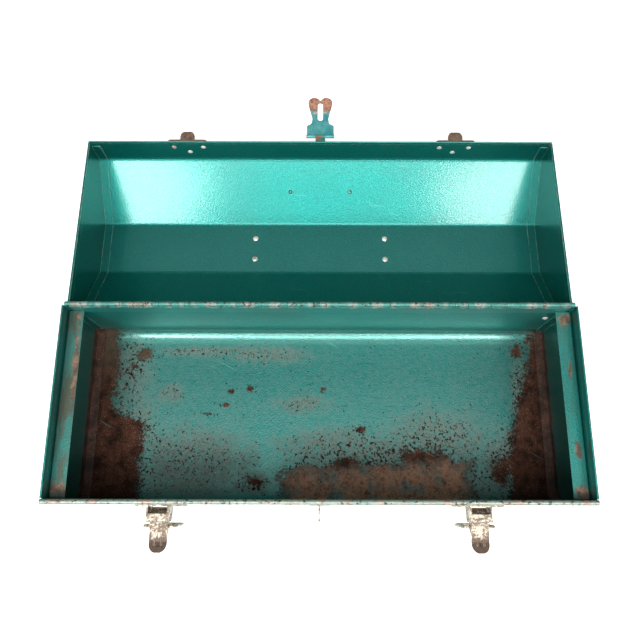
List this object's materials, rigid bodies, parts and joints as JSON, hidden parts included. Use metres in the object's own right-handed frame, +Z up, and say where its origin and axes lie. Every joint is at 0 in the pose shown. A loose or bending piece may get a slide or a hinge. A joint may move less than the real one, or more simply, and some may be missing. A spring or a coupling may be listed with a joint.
{
  "type": "carpenter toolbox",
  "caption": "Long steel hip-roof toolbox with a piano-hinged lid, draw latches, a padlock hasp and a folding bail handle.",
  "frame": {"origin": "centre of the box's flat underside, on the surface it stands on", "axes": "+X along the box, +Y towards the hinge and the opened lid, +Z up"},
  "size_m": [0.508, 0.4737, 0.105],
  "materials": {
    "body_paint": "aged, partly rusted",
    "lid_paint": "aged, partly rusted",
    "ledge_paint": "aged, partly rusted",
    "hinge_steel": "aged, partly rusted",
    "hasp_steel": "aged, partly rusted",
    "badge_metal": "aged, partly rusted",
    "grip_paint": "aged, partly rusted",
    "rivet_steel": "aged, partly rusted",
    "handle_steel": "aged, partly rusted",
    "catch_steel": "aged, partly rusted",
    "latch_steel": "aged, partly rusted"
  },
  "bodies": {
    "box": {"body_shell": "body_paint", "body_end_left": "body_paint", "body_end_right": "body_paint", "tray_ledge_left": "ledge_paint", "tray_ledge_right": "ledge_paint", "hinge_leaf_body": "hinge_steel", "hinge_pin": "hinge_steel", "latch_base_left": "latch_steel", "latch_base_right": "latch_steel", "latch_rivets_left": "rivet_steel", "latch_rivets_right": "rivet_steel", "latch_pin_left": "rivet_steel", "latch_pin_right": "rivet_steel", "padlock_staple": "hasp_steel", "stay_rivet": "rivet_steel"},
    "lid": {"lid_shell": "lid_paint", "lid_end_left": "lid_paint", "lid_end_right": "lid_paint", "hinge_leaf_lid": "hinge_steel", "catch_left": "catch_steel", "catch_right": "catch_steel", "catch_rivets_left": "rivet_steel", "catch_rivets_right": "rivet_steel", "hasp_leaf": "hasp_steel", "hasp_pin": "hasp_steel", "handle_bracket_left": "handle_steel", "handle_bracket_right": "handle_steel", "handle_rivets_left": "rivet_steel", "handle_rivets_right": "rivet_steel", "badge_plate": "badge_metal", "badge_rivets": "rivet_steel"},
    "handle": {"handle_bail": "handle_steel", "handle_grip": "grip_paint"},
    "hasp": {"hasp_strap": "hasp_steel"},
    "lever_left": {"latch_lever_left": "latch_steel"},
    "lever_right": {"latch_lever_right": "latch_steel"},
    "link_left": {"latch_link_left": "latch_steel"},
    "link_right": {"latch_link_right": "latch_steel"}
  },
  "joints": [
    {"name": "lid_hinge", "type": "hinge", "parent": "box", "child": "lid", "pos_m": [0, 0.0953, 0.1027], "axis": [1, 0, 0], "range_deg": [0, 182.2]},
    {"name": "handle_hinge", "type": "hinge", "parent": "lid", "child": "handle", "pos_m": [0, 0.18598, 0.01696], "axis": [-1, 0, 0], "range_deg": [-6, 169]},
    {"name": "hasp_hinge", "type": "hinge", "parent": "lid", "child": "hasp", "pos_m": [0, 0.28994, 0.08952], "axis": [1, 0, 0], "range_deg": [-75, 90]},
    {"name": "lever_hinge_left", "type": "hinge", "parent": "box", "child": "lever_left", "pos_m": [-0.148, -0.105, 0.084], "axis": [1, 0, 0], "range_deg": [0, 100]},
    {"name": "link_hinge_left", "type": "hinge", "parent": "lever_left", "child": "link_left", "pos_m": [-0.148, -0.114, 0.084], "axis": [-1, 0, 0], "range_deg": [0, 283.5]},
    {"name": "lever_hinge_right", "type": "hinge", "parent": "box", "child": "lever_right", "pos_m": [0.148, -0.105, 0.084], "axis": [1, 0, 0], "range_deg": [0, 100]},
    {"name": "link_hinge_right", "type": "hinge", "parent": "lever_right", "child": "link_right", "pos_m": [0.148, -0.114, 0.084], "axis": [-1, 0, 0], "range_deg": [0, 283.5]}
  ],
  "couplings": [
    {"joint": "link_hinge_left", "follows": "lever_hinge_left", "ratio": 2.833},
    {"joint": "link_hinge_right", "follows": "lever_hinge_right", "ratio": 2.833}
  ]
}
